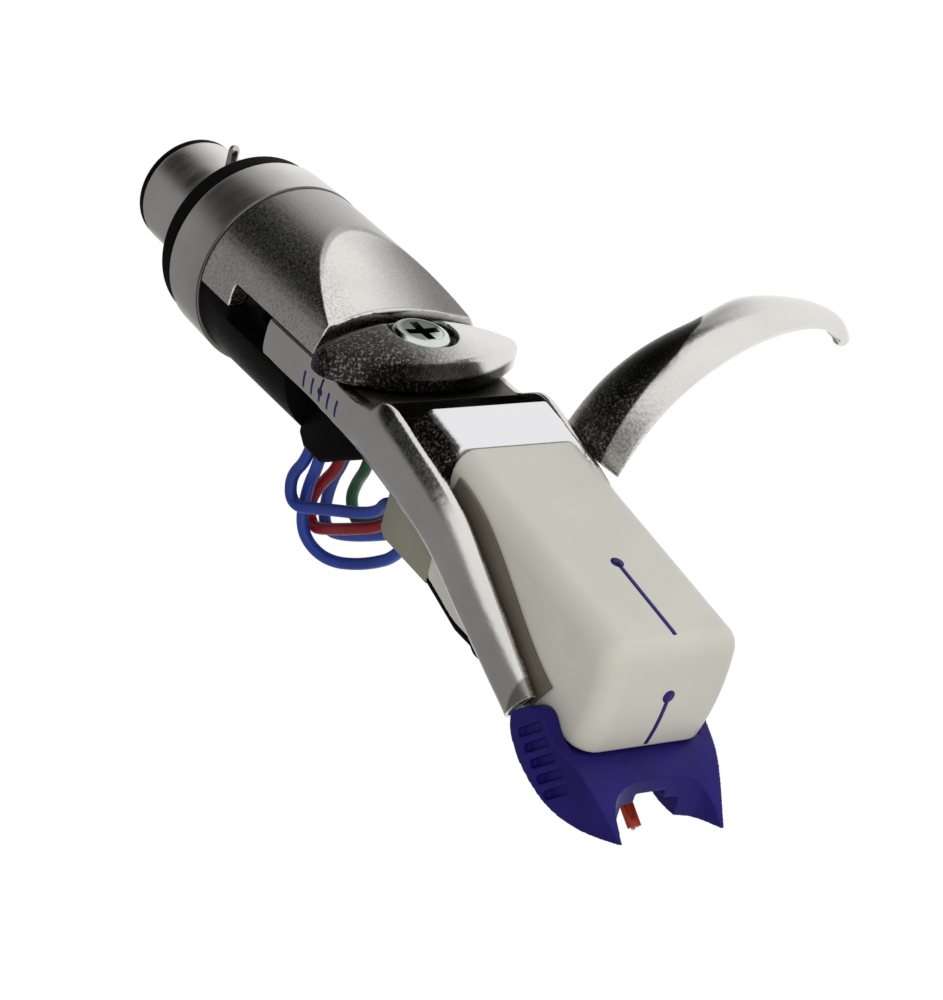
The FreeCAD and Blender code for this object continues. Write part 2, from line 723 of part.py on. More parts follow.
def slotPrism(y, z, length, r, angle, x0, x1):
    """Round-ended slot in the side view, centred on (y, z), as a prism across x."""
    a = math.radians(angle)
    along = Vector(0, math.cos(a), math.sin(a))
    out = Vector(0, -math.sin(a), math.cos(a))
    centre = Vector(x0, y, z)
    ends = [centre - along * (length / 2), centre + along * (length / 2)]
    edges = [Part.LineSegment(ends[0] + out * r, ends[1] + out * r).toShape(),
             Part.Arc(ends[1] + out * r, ends[1] + along * r, ends[1] - out * r).toShape(),
             Part.LineSegment(ends[1] - out * r, ends[0] - out * r).toShape(),
             Part.Arc(ends[0] - out * r, ends[0] - along * r, ends[0] + out * r).toShape()]
    return Part.Face(Part.Wire(edges)).extrude(Vector(x1 - x0, 0, 0))


def stylusLine():
    """Pivot, far end, direction and length of the cantilever."""
    start = Vector(0, hinge_y, shank_z)
    end = Vector(0, tip_y, tip_z + tip_len + blade_t / 2)
    direction = end.sub(start)
    length = direction.Length
    direction.normalize()
    return start, end, direction, length


def makeDamper():
    start, end, direction, length = stylusLine()
    ring = cylY(shank_bore_r - seat_gap, hinge_y + damper_t / 2, hinge_y - damper_t / 2, 0, shank_z)
    bore = Part.makeCylinder(cantilever_r + 0.14, 4, start - direction * 2, direction)
    return ring.cut(bore)


def makeCantilever():
    start, end, direction, length = stylusLine()
    rod = Part.makeCylinder(cantilever_r, length - blade_len + 0.5 + 0.2, start - direction * 0.2, direction)
    magnet = Part.makeCylinder(magnet_r, magnet_len, start - direction * (0.2 + magnet_len), direction)
    return rod.fuse(magnet)


def makeBlade():
    start, end, direction, length = stylusLine()
    blade = Part.makeBox(blade_w, blade_t, blade_len, Vector(-blade_w / 2, -blade_t / 2, 0))
    slot = Part.makeBox(blade_w * 0.32, 1, blade_len * 0.45, Vector(-blade_w * 0.16, -0.5, blade_len * 0.35))
    blade = blade.cut(slot)
    turn = FreeCAD.Rotation(Vector(0, 0, 1), direction)
    blade.Placement = FreeCAD.Placement(end - direction * (blade_len - 0.1), turn)
    rod_end = length - blade_len + 0.5
    hold = Part.makeCylinder(cantilever_r, rod_end, start, direction)
    return blade.cut(hold)


def makeTip():
    start, end, direction, length = stylusLine()
    low = Vector(0, tip_y, tip_z)
    return Part.makeCone(0.03, 0.15, tip_len - 0.02, low, Vector(0, 0, 1))


def tubePath(points, r):
    """Round lead along straight runs joined by tangent arcs as large as the runs allow."""
    edges = []
    last = points[0]
    radii = []
    for k in range(1, len(points) - 1):
        a = points[k].sub(points[k - 1])
        b = points[k + 1].sub(points[k])
        turn = a.getAngle(b)
        run = min(a.Length, b.Length)
        cut = 0.45 * run
        radii.append(round(cut / math.tan(turn / 2), 2))
        ua = Vector(a).normalize()
        ub = Vector(b).normalize()
        start = points[k] - ua * cut
        end = points[k] + ub * cut
        radius = cut / math.tan(turn / 2)
        bisector = (ub - ua).normalize()
        mid = points[k] + bisector * (radius / math.cos(turn / 2) - radius)
        edges.append(Part.LineSegment(last, start).toShape())
        edges.append(Part.Arc(start, mid, end).toShape())
        last = end
    edges.append(Part.LineSegment(last, points[-1]).toShape())
    path = Part.Wire(edges)
    direction = Vector(points[1].sub(points[0])).normalize()
    section = Part.Wire([Part.Circle(points[0], direction, r).toShape()])
    tube = path.makePipeShell([section], True, False, 2)
    expected = math.pi * r * r * path.Length
    print("  lead radii", radii, "length", round(path.Length, 2), "volume ratio",
          round(tube.Volume / expected, 4))
    return tube


lead_names = ["lead_blue", "lead_blue_low", "lead_red", "lead_green", "lead_pale"]


def leadPoints(index):
    x, y = leadExits()[index]
    leaving = [(x, y, outlet_low_z + 1.0), (x, y, outlet_low_z - 0.8)]
    between = [
        [(-3.5, -16.3, -8.9), (-3.5, -17.3, -10.6), (-3.1, -20.2, -9.1), (-2.6, -24.8, -6.9)],
        [(-2.5, -17.1, -9.3), (-2.45, -17.3, -12.4), (-1.4, -19.2, -13.7), (-0.8, -22.6, -12.1), (0.0, -25.4, -9.7)],
        [(-1.7, -17.2, -9.2), (-1.45, -16.25, -11.2), (-1.4, -17.2, -12.4), (-1.65, -19.2, -11.3), (-2.2, -22.0, -9.6),
         (-1.7, -24.9, -7.8)],
        [(1.0, -17.5, -8.9), (1.2, -17.0, -10.6), (1.3, -18.4, -11.9), (1.5, -20.7, -9.9), (1.1, -24.6, -7.7)],
        [(-0.3, -16.4, -9.6), (-0.4, -16.9, -12.8), (-0.1, -20.0, -11.6), (2.0, -24.2, -8.8)]]
    end_y = clip_rear_y + seat_gap
    if lead_names[index] == "lead_blue_low":
        last = [(0, end_y + 0.7, ground_z), (0, terminal_rear_y - terminal_mouth + seat_gap, ground_z)]
    else:
        slot = ("lead_blue", "lead_red", "lead_green", "lead_pale").index(lead_names[index])
        tx, tz = terminals()[slot]
        last = [(tx, end_y + 1.3, tz), (tx, end_y, tz)]
    return [Vector(*p) for p in leaving + between[index] + last]


def main():
    export("connector_barrel", makeBarrel())
    export("bayonet_pin", makeBayonet())
    export("contact_insulator", makeInsulator())
    for k, (x, z) in enumerate(contactPlaces()):
        export("contact_pin_%d" % (k + 1), makeContact(x, z))
    export("sealing_washer", makeWasher())
    export("collar_ring", makeCollar())
    export("head_shell", makeHead())
    export("lower_cover", makeCover())
    export("wire_outlet", makeOutlet())
    export("clamp_screw", makeScrew())
    export("clamp_nut", makeNut())
    carrier = makeCarrier()
    export("carrier", carrier)
    export("slide_plate", makeSlidePlate())
    export("finger_lift", makeLift(carrier))
    for name, shape in (("rail_plug", makePlug()), ("shield_strip", makeStrip())):
        export(name + "_right", shape)
        export(name + "_left", mirrorX(shape))
    export("cartridge_body", makeBody())
    export("terminal_block", makeTerminalBlock())
    for k, (x, z) in enumerate(terminals()):
        export("terminal_pin_%d" % (k + 1), makeTerminalPin(x, z))
        export("lead_clip_%d" % (k + 1), makeClip(x, z))
    export("bottom_plate", makeBottomPlate())
    export("stylus_grip", makeGrip())
    export("stylus_shank", makeShank())
    export("damper", makeDamper())
    export("cantilever", makeCantilever())
    export("stylus_blade", makeBlade())
    export("stylus_tip", makeTip())
    for k, name in enumerate(lead_names):
        export(name, tubePath(leadPoints(k), lead_r))


main()
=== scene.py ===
import json
import math

import bpy
import bmesh
from mathutils import Matrix, Vector


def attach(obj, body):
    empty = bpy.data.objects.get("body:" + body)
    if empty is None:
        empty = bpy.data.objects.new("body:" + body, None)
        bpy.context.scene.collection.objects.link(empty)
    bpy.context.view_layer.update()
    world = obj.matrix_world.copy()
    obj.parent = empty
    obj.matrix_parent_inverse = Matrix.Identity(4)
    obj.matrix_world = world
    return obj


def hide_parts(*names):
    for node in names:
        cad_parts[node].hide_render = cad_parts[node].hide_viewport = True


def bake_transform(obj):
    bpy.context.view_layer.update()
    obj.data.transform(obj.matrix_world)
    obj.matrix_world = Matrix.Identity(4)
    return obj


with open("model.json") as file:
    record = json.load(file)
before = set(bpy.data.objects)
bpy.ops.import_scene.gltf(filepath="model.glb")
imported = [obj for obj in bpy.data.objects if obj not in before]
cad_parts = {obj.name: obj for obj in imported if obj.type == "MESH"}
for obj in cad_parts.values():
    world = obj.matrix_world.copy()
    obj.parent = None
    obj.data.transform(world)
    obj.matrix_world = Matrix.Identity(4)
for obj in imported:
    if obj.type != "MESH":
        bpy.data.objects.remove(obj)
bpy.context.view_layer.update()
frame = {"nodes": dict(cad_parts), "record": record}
nodes = frame["nodes"]
slotOf = {row["node"]: row["material_slot"] for row in frame["record"]["subparts"]}
bodyOf = {node: body for body, held in frame["record"]["behaviour"]["bodies"].items() for node in held}
mm = 0.001


def addObject(name, data):
    o = bpy.data.objects.new(name, data)
    bpy.context.scene.collection.objects.link(o)
    return o


# fitted to the photograph: the camera's own axes, its place in metres, lens and sensor in millimetres
cameraSet = {"right": (0.8174, -0.5256, 0.2357), "up": (0.0712, 0.4983, 0.8641),
             "back": (-0.5716, -0.6895, 0.4447), "place": (-0.118481, -0.168908, 0.087178),
             "lens": 119.41, "sensor": 36, "shift": (0.04402, -0.00465), "clip": (0.005, 10)}


def makeCamera():
    data = bpy.data.cameras.new("camera")
    data.sensor_width = cameraSet["sensor"]
    data.lens = cameraSet["lens"]
    data.shift_x, data.shift_y = cameraSet["shift"]
    data.clip_start, data.clip_end = cameraSet["clip"]
    o = addObject("camera", data)
    turn = Matrix((cameraSet["right"], cameraSet["up"], cameraSet["back"])).transposed().to_4x4()
    o.matrix_world = Matrix.Translation(cameraSet["place"]) @ turn
    bpy.context.scene.camera = o


makeCamera()
print("camera set")


class Wire:  # one socket's value in a material, so that a mask reads as a sum
    def __init__(self, finish, socket):
        self.finish = finish
        self.socket = socket

    def __add__(self, other):
        return self.finish.node("ShaderNodeMath", {"operation": "ADD"}, [self, other])

    def __mul__(self, other):
        return self.finish.node("ShaderNodeMath", {"operation": "MULTIPLY"}, [self, other])

    def between(self, low, high, toLow=0.0, toHigh=1.0):
        return self.finish.node("ShaderNodeMapRange", {"interpolation_type": "SMOOTHSTEP"},
                                {"Value": self, "From Min": low, "From Max": high,
                                 "To Min": toLow, "To Max": toHigh})


class Finish:  # a material, its shader and the nodes that vary it
    def __init__(self, name, **fixed):
        self.material = bpy.data.materials.new(name)
        self.material.use_nodes = True
        self.tree = self.material.node_tree
        self.shader = self.tree.nodes["Principled BSDF"]
        self.coords = self.node("ShaderNodeTexCoord", out="Object")
        for key, value in fixed.items():
            self.put(key, value)

    def node(self, kind, settings=None, values=None, out=0):
        made = self.tree.nodes.new(kind)
        for key, value in (settings or {}).items():
            setattr(made, key, value)
        pairs = enumerate(values) if isinstance(values, list) else (values or {}).items()
        for place, value in pairs:
            self.join(made.inputs[place], value)
        return Wire(self, made.outputs[out])

    def join(self, place, value):
        if isinstance(value, Wire):
            self.tree.links.new(value.socket, place)
        elif isinstance(value, tuple) and place.type == "RGBA":
            place.default_value = (*value, 1.0)
        else:
            place.default_value = value

    def put(self, key, value):
        names = {"color": "Base Color", "metal": "Metallic", "rough": "Roughness", "normal": "Normal",
                 "spec": "Specular IOR Level"}
        self.join(self.shader.inputs[names[key]], value)

    def noise(self, size, detail=2.0, stretch=(1, 1, 1), roughness=0.5):
        spot = self.node("ShaderNodeVectorMath", {"operation": "MULTIPLY"}, [self.coords, stretch])
        return self.node("ShaderNodeTexNoise", None,
                         {"Vector": spot, "Scale": 1 / size, "Detail": detail, "Roughness": roughness})

    def attribute(self, name):
        return self.node("ShaderNodeAttribute", {"attribute_name": name}, out="Fac")

    def mix(self, share, first, second):
        # inputs 0, 6 and 7 are the factor and the two colours
        return self.node("ShaderNodeMix", {"data_type": "RGBA"}, {0: share, 6: first, 7: second}, out=2)

    def bump(self, height, depth):
        return self.node("ShaderNodeBump", None, {"Strength": 1.0, "Distance": depth, "Height": height},
                         out="Normal")


def shaded(color, share):
    return tuple(c * share for c in color)


# sizes of the grain in metres; one attribute paints shade and dark reflections in a near-black colour, another
# paints a paler highlight, and grain roughens and speckles
castGrain = {"color": (0.76, 0.75, 0.715), "fine": 0.00018, "skin": 0.0009, "patch": 0.005,
             "patchShade": 0.9, "rough": (0.17, 0.25), "depth": 0.000012, "pit": 0.35,
             "pitColor": (0.1, 0.09, 0.075), "glint": -0.34, "pale": (0.80, 0.795, 0.815),
             "soot": (0.010, 0.009, 0.008)}


def castNickel(name):
    g = castGrain
    f = Finish(name, metal=1.0)
    soot, coarse = f.attribute("soot"), f.attribute("grain")
    fine = f.noise(g["fine"], 3, roughness=0.65)
    skin = f.noise(g["skin"], 3)
    patch = f.noise(g["patch"], 2)
    plain = f.mix(patch.between(0.3, 0.75), g["color"], shaded(g["color"], g["patchShade"]))
    speckled = f.mix(coarse * fine.between(0.52, 0.4) * g["pit"], plain, g["pitColor"])
    # painted highlight: the colour is whitened where one attribute says so
    highlighted = f.mix(f.attribute("pale"), speckled, g["pale"])
    # painted glints: light specks break up the painted shade where the grain is coarse
    glints = coarse * fine.between(0.48, 0.72, 0.0, g["glint"])
    f.put("color", f.mix(soot + glints, highlighted, g["soot"]))
    low, high = g["rough"]
    f.put("rough", fine.between(0.3, 0.75, low, high) + soot * 0.1 + coarse * 0.06)
    f.put("normal", f.bump(fine * (coarse * 0.75 + 0.08) + skin * 0.25, g["depth"]))
    return f.material


turnedGrain = {"color": (0.80, 0.785, 0.75), "marks": 0.00022, "along": (0.05, 1.0, 0.05),
               "smudge": 0.003, "smudgeShade": 0.9, "depth": 0.0000025, "soot": (0.02, 0.018, 0.015)}


def turnedNickel(name, color, rough, marks=turnedGrain["marks"]):
    g = turnedGrain
    f = Finish(name, metal=1.0)
    lines = f.noise(marks, 3, stretch=g["along"], roughness=0.7)
    smudge = f.noise(g["smudge"], 3)
    plain = f.mix(smudge.between(0.35, 0.75), color, shaded(color, g["smudgeShade"]))
    # painted shade: an attribute darkens the colour to near black at the collar's seam and in the screw's
    # recess
    f.put("color", f.mix(f.attribute("soot"), plain, g["soot"]))
    f.put("rough", lines.between(0.25, 0.8, rough - 0.04, rough + 0.08) + smudge.between(0.5, 0.9, 0, 0.05))
    f.put("normal", f.bump(lines, g["depth"]))
    return f.material


mouldedGrain = {"fine": 0.0002, "broad": 0.004}


def moulded(name, color, rough, depth=0.000004, vary=0.12, **fixed):
    f = Finish(name, **fixed)
    fine = f.noise(mouldedGrain["fine"], 2)
    broad = f.noise(mouldedGrain["broad"], 2)
    f.put("color", f.mix(broad.between(0.3, 0.75), color, shaded(color, 1 - vary)))
    f.put("rough", fine.between(0.3, 0.75, rough - 0.05, rough + 0.08))
    f.put("normal", f.bump(fine, depth))
    return f.material


# one finish for each material slot of the record: colour and roughness first
finishes = {
    "turned_nickel": turnedNickel("turnedNickel", turnedGrain["color"], 0.3),
    "steel_pin": turnedNickel("pinSteel", (0.55, 0.53, 0.48), 0.22),
    "cast_nickel": castNickel("castNickel"),
    "screw_chrome": turnedNickel("screwChrome", (0.66, 0.72, 0.68), 0.12, 0.0005),
    "shield_steel": moulded("shieldSteel", (0.10, 0.086, 0.066), 0.4, spec=0.3),
    "black_plastic": moulded("blackPlastic", (0.002, 0.002, 0.002), 0.4, spec=0.04),
    "black_rubber": moulded("washerRubber", (0.003, 0.003, 0.003), 0.6, depth=0.00001, spec=0.04),
    "body_plastic": moulded("bodyPlastic", (0.455, 0.45, 0.41), 0.42, vary=0.05, spec=0.4),
    "grey_plastic": moulded("blockPlastic", (0.19, 0.192, 0.150), 0.5, depth=0.00001, spec=0.3),
    "grip_plastic": moulded("gripPlastic", (0.010, 0.006, 0.105), 0.4, vary=0.3, spec=0.15),
    "shank_brass": turnedNickel("shankBrass", (0.62, 0.45, 0.2), 0.3),
    "cantilever_metal": turnedNickel("cantileverAlloy", (0.6, 0.6, 0.6), 0.3),
    "red_plastic": moulded("bladePlastic", (0.26, 0.02, 0.004), 0.3, spec=0.3),
    "tip_ceramic": moulded("tipDiamond", (0.6, 0.6, 0.66), 0.1),
    "gold": turnedNickel("contactGold", (0.75, 0.53, 0.22), 0.2),
    "lead_blue": moulded("leadBlue", (0.010, 0.036, 0.26), 0.38, vary=0.35, spec=0.4),
    "lead_red": moulded("leadRed", (0.20, 0.004, 0.006), 0.38, vary=0.3, spec=0.4),
    "lead_green": moulded("leadGreen", (0.015, 0.085, 0.03), 0.38, spec=0.4),
    "lead_pale": moulded("leadPale", (0.03, 0.065, 0.34), 0.38, vary=0.3, spec=0.4)}
inkBlue = moulded("inkBlue", (0.012, 0.005, 0.10), 0.45, vary=0.2, spec=0.2)
for name, o in nodes.items():
    o.data.materials.clear()
    o.data.materials.append(finishes[slotOf[name]])
print("finishes on", len(nodes), "nodes")


def pieceName(node):  # lead_blue_low becomes leadBlueLow
    first, *rest = node.split("_")
    return first + "".join(word.capitalize() for word in rest)


def coat(o, finish):
    o.data.materials.clear()
    o.data.materials.append(finish)
    for polygon in o.data.polygons:
        polygon.use_smooth = True


def dress(o, node, finish=None):
    coat(o, finish or finishes[slotOf[node]])
    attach(o, bodyOf[node])
    return o


def standIn(o, node):
    dress(o, node)
    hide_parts(node)
    return o


# the leads' routes repeat the CAD's, in millimetres, for smooth NURBS lines
leadSet = {"r": 0.4, "bevelSteps": 7, "lineSteps": 14, "start": (0, -0.0192, -0.010),
           "end": (0, -0.0255, -0.006)}
leadRoutes = {
    "lead_blue": [(-3.2, -17.4, -5.1), (-3.2, -17.4, -6.9), (-3.5, -16.3, -8.9), (-3.5, -17.3, -10.6),
                  (-3.1, -20.2, -9.1), (-2.6, -24.8, -6.9), (-2.91, -25.87, -5.1), (-2.91, -27.17, -5.1)],
    "lead_blue_low": [(-3.1, -18.4, -5.1), (-3.1, -18.4, -6.9), (-2.5, -17.1, -9.3), (-2.45, -17.3, -12.4),
                      (-1.4, -19.2, -13.7), (-0.8, -22.6, -12.1), (0.0, -25.4, -9.7), (0, -26.47, -3.2),
                      (0, -28.77, -3.2)],
    "lead_red": [(-1.5, -18.6, -5.1), (-1.5, -18.6, -6.9), (-1.7, -17.2, -9.2), (-1.45, -16.25, -11.2),
                 (-1.4, -17.2, -12.4), (-1.65, -19.2, -11.3), (-2.2, -22.0, -9.6), (-1.7, -24.9, -7.8),
                 (-0.97, -25.87, -5.1), (-0.97, -27.17, -5.1)],
    "lead_green": [(0.2, -19.2, -5.1), (0.2, -19.2, -6.9), (1.0, -17.5, -8.9), (1.2, -17.0, -10.6),
                   (1.3, -18.4, -11.9), (1.5, -20.7, -9.9), (1.1, -24.6, -7.7), (0.97, -25.87, -5.1),
                   (0.97, -27.17, -5.1)],
    "lead_pale": [(-0.6, -17.8, -5.1), (-0.6, -17.8, -6.9), (-0.3, -16.4, -9.6), (-0.4, -16.9, -12.8),
                  (-0.1, -20.0, -11.6), (2.0, -24.2, -8.8), (2.91, -25.87, -5.1), (2.91, -27.17, -5.1)]}


def makeLead(node, route):
    curve = bpy.data.curves.new(node, "CURVE")
    curve.dimensions = "3D"
    curve.bevel_depth = leadSet["r"] * mm
    curve.bevel_resolution = leadSet["bevelSteps"]
    curve.resolution_u = leadSet["lineSteps"]
    curve.use_fill_caps = True
    spline = curve.splines.new("NURBS")
    spline.points.add(len(route) - 1)
    for point, place in zip(spline.points, route):
        point.co = (*(c * mm for c in place), 1)
    spline.order_u = 3
    spline.use_endpoint_u = True
    line = addObject("leadLine", curve)
    data = bpy.data.meshes.new_from_object(line.evaluated_get(bpy.context.evaluated_depsgraph_get()))
    bpy.data.objects.remove(line)
    lead = addObject(pieceName(node), data)
    coat(lead, finishes[slotOf[node]])
    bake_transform(lead)
    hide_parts(node)


for node, route in leadRoutes.items():
    makeLead(node, route)
print("leads laid", len(leadRoutes))


def meshObject(name, bm):
    data = bpy.data.meshes.new(name)
    bm.to_mesh(data)
    bm.free()
    return addObject(name, data)


def bake(o):  # the result of a piece's modifiers becomes its mesh
    made = bpy.data.meshes.new_from_object(o.evaluated_get(bpy.context.evaluated_depsgraph_get()))
    o.modifiers.clear()
    old = o.data
    o.data = made
    if old.users == 0:
        bpy.data.meshes.remove(old)
    return o


def cutAway(o, cutter):
    cut = o.modifiers.new("cut", "BOOLEAN")
    cut.object = cutter
    cut.operation = "DIFFERENCE"
    cut.solver = "EXACT"
    bake(o)
    bpy.data.objects.remove(cutter)


def mergedCopy(node, name):
    o = addObject(name, nodes[node].data.copy())
    bm = bmesh.new()
    bm.from_mesh(o.data)
    bmesh.ops.remove_doubles(bm, verts=bm.verts, dist=1e-6)
    bm.to_mesh(o.data)
    bm.free()
    return o


def ramp(v, low, high):  # 0 at low, 1 at high, with soft ends
    t = min(max((v - low) / (high - low), 0.0), 1.0)
    return t * t * (3 - 2 * t)


def paint(o, name, rule):  # a number for each vertex, from its place in millimetres
    layer = o.data.attributes.new(name, "FLOAT", "POINT")
    layer.data.foreach_set("value", [min(max(rule(*(v.co / mm)), 0.0), 1.0) for v in o.data.vertices])


def reshape(o, rule):
    for v in o.data.vertices:
        v.co = Vector(rule(*(v.co / mm))) * mm
    o.data.update()


# the lip at the scoop's end follows a circle; the gap under it is cut into the casting
lipSet = {"r": 23.6, "centreY": -42.0, "gapStart": 0.02, "gapEnd": 0.5, "gapLow": 2.4, "gapTop": 9,
          "reach": 8.6, "steps": 40}


def lipY(x):
    return lipSet["centreY"] + math.sqrt(max(lipSet["r"] ** 2 - x * x, 0))


def gapCutter():
    s = lipSet
    bm = bmesh.new()
    corners = [(s["gapStart"], s["gapLow"]), (s["gapEnd"], s["gapLow"]), (s["gapEnd"], s["gapTop"]),
               (s["gapStart"], s["gapTop"])]
    across = [s["reach"] * (2 * k / s["steps"] - 1) for k in range(s["steps"] + 1)]
    rings = [[bm.verts.new(Vector((x, lipY(x) - back, z)) * mm) for back, z in corners] for x in across]
    for one, two in zip(rings, rings[1:]):
        for k in range(4):
            bm.faces.new((one[k], one[(k + 1) % 4], two[(k + 1) % 4], two[k]))
    bm.faces.new(rings[0])
    bm.faces.new(rings[-1])
    bmesh.ops.recalc_face_normals(bm, faces=bm.faces)
    return meshObject("gapCutter", bm)


# node, piece, voxel in millimetres and smoothing rounds: edges come out as soft as a casting's
softened = [
    ("head_shell", "headCasting", 0.105, 5),
    ("carrier", "carrierCasting", 0.105, 5),
    ("finger_lift", "fingerLift", 0.075, 8),
    ("stylus_grip", "stylusGripMoulding", 0.075, 4),
    ("cartridge_body", "bodyMoulding", 0.13, 3)]


def softenedPiece(node, name, voxel, rounds):
    o = mergedCopy(node, name)
    if node == "head_shell":
        cutAway(o, gapCutter())
    remesh = o.modifiers.new("remesh", "REMESH")
    remesh.mode = "VOXEL"
    remesh.voxel_size = voxel * mm
    smooth = o.modifiers.new("smooth", "SMOOTH")
    smooth.factor = 0.5
    smooth.iterations = rounds
    bake(o)
    print(name, len(o.data.polygons), "faces")
    return standIn(o, node)


castings = {row[1]: softenedPiece(*row) for row in softened}

# pairs are where a tone is nil and where it is full, in millimetres; past is the way in front of the lip
headShade = {"padPast": (0.4, 0.6), "padX": (3.2, -3.6), "padSoot": 0.98,
             "wallZ": (2.75, 2.45), "wallMiddle": 0.8, "wallX": (6.2, 4.4),
             "gapPast": (-0.02, 0.08), "gapOver": (0.65, 0.45), "gapZ": (4.3, 3.7),
             "headPast": (0.1, -0.3), "scoopY": (-10.5, -13.5), "scoopX": (-1.5, 4.2), "scoopDarkReflection": 0.72,
             "roundR": (6.28, 6.4), "roundX": (-4.6, -2.6), "roundDarkReflection": 0.46, "seamY": (-5.98, -5.84),
             "leastGrain": 0.2, "padGrainPast": (0.3, 0.6), "padGrainX": (3, -2), "sideGrainX": (-1.5, -4.5),
             "dip": 0.75, "dipPast": (0.3, 0.45), "dipOver": (2.0, 0.3), "dipZ": (2.0, 3.2)}


def finishHead(o):
    s = headShade

    def padDips(x, y, z):  # the pad's rear edge rounds off under the lip
        past = lipY(x) - y
        share = ramp(past, *s["dipPast"]) * ramp(past, *s["dipOver"]) * ramp(z, *s["dipZ"])
        return (x, y, z - s["dip"] * share)

    # painted shade in the gap under the lip, under the pad's rim, on the pad's left and at the seam by the
    # collar; painted dark reflections on the scoop's right front and on the head's round outside
    def soot(x, y, z):
        past = lipY(x) - y
        onPad, onHead = ramp(past, *s["padPast"]), ramp(past, *s["headPast"])
        left = onPad * ramp(x, *s["padX"]) * s["padSoot"]
        wall = onPad * ramp(z, *s["wallZ"]) * ramp(abs(x - s["wallMiddle"]), *s["wallX"])
        gap = ramp(past, *s["gapPast"]) * ramp(past, *s["gapOver"]) * ramp(z, *s["gapZ"])
        scoop = onHead * ramp(y, *s["scoopY"]) * ramp(x, *s["scoopX"]) * s["scoopDarkReflection"]
        outside = onHead * ramp(math.hypot(x, z), *s["roundR"]) * ramp(x, *s["roundX"]) * s["roundDarkReflection"]
        return max(gap, left, wall, scoop, outside, ramp(y, *s["seamY"]))

    def grain(x, y, z):
        onPad = ramp(lipY(x) - y, *s["padGrainPast"]) * ramp(x, *s["padGrainX"])
        return max(s["leastGrain"], onPad, ramp(x, *s["sideGrainX"]))

    reshape(o, padDips)
    paint(o, "soot", soot)
    paint(o, "grain", grain)


# painted shade in the window behind the bridge and at the rail ends, a painted dark reflection on the bridge's
# left, and a painted highlight on its flat top
carrierShade = {"innerX": (5.62, 5.5), "windowY": (-29.2, -28.8), "windowZ": (1.1, 0.8),
                "leftX": (-4.35, -4.6), "leftY": (-28.3, -28.6), "leftOverY": (-34.2, -33.9),
                "railEndY": (-45.3, -45.5), "railEndShadow": 0.6,
                "topX": (-4.5, -4.3), "topOverX": (5.0, 4.8), "topY": (-29.3, -29.6), "topZ": (0.2, 0.5),
                "grainX": (-5.5, -2.5), "leastGrain": 0.1}


def finishCarrier(o):
    s = carrierShade

    def soot(x, y, z):
        inner = ramp(abs(x), *s["innerX"])
        window = inner * ramp(y, *s["windowY"]) * ramp(z, *s["windowZ"])
        bridgeLeft = inner * ramp(x, *s["leftX"]) * ramp(y, *s["leftY"]) * ramp(y, *s["leftOverY"])
        return max(window, bridgeLeft, ramp(y, *s["railEndY"]) * s["railEndShadow"])

    # painted highlight: the bridge's flat top is made paler
    def pale(x, y, z):
        return (ramp(x, *s["topX"]) * ramp(x, *s["topOverX"]) * ramp(y, *s["topY"])
                * ramp(z, *s["topZ"]))

    paint(o, "soot", soot)
    paint(o, "pale", pale)
    paint(o, "grain", lambda x, y, z: 1.0 if s["grainX"][0] < x < s["grainX"][1] else s["leastGrain"])


# the outer end is swept back on its upper side, and a painted dark reflection darkens the crest from the root
# to a point
liftSet = {"sweep": 0.95, "sweepX": (12.5, 17), "sweepTipX": (23.4, 20.5), "sweepY": (-33.6, -31.0),
           "crestEdge": [(6, -33.8), (10.3, -33.05), (12.5, -31.9), (14.6, -29.9), (17, -28.6)],
           "crestSoft": 0.1, "crestRearY": (-29.0, -30.6), "crestDarkReflection": 0.97,
           "grainX": (10.0, 7.0), "leastGrain": 0.1}


def alongLine(line, x):
    for (x0, y0), (x1, y1) in zip(line, line[1:]):
        if x <= x1:
            return y0 + (y1 - y0) * max(x - x0, 0) / (x1 - x0)
    return line[-1][1]


def finishLift(o):
    s = liftSet

    def swept(x, y, z):
        share = ramp(x, *s["sweepX"]) * ramp(x, *s["sweepTipX"]) * ramp(y, *s["sweepY"])
        return (x, y + s["sweep"] * share, z)

    def soot(x, y, z):
        y -= s["sweep"] * ramp(x, *s["sweepX"])
        edge = alongLine(s["crestEdge"], x)
        front = ramp(y, edge - s["crestSoft"], edge + s["crestSoft"])
        return s["crestDarkReflection"] * front * ramp(y, *s["crestRearY"])

    least = s["leastGrain"]
    reshape(o, swept)
    paint(o, "soot", soot)
    paint(o, "grain", lambda x, y, z: least + (1 - least) * ramp(x, *s["grainX"]))


finishHead(castings["headCasting"])
finishCarrier(castings["carrierCasting"])
finishLift(castings["fingerLift"])
print("castings shaped and shaded")


def sharpShaded(o, degrees=30):
    limit = math.radians(degrees)
    bm = bmesh.new()
    bm.from_mesh(o.data)
    for edge in bm.edges:
        edge.smooth = len(edge.link_faces) == 2 and edge.calc_face_angle(0) < limit
    bm.to_mesh(o.data)
    bm.free()
    return o


def roundCorner(profile, radius, steps=5):  # (r, y) corners become small arcs
    done = []
    count = len(profile)
    for k in range(count):
        before, here, after = (Vector(profile[(k + i) % count]) for i in (-1, 0, 1))
        a, b = (before - here), (after - here)
        if a.length < 1e-9 or b.length < 1e-9 or here.x <= 0:
            done.append(tuple(here))
            continue
        cut = min(radius, a.length * 0.45, b.length * 0.45)
        first, last = here + a.normalized() * cut, here + b.normalized() * cut
        for s in range(steps + 1):
            t = s / steps
            p = first * (1 - t) ** 2 + here * 2 * t * (1 - t) + last * t ** 2
            done.append((p.x, p.y))
    return done


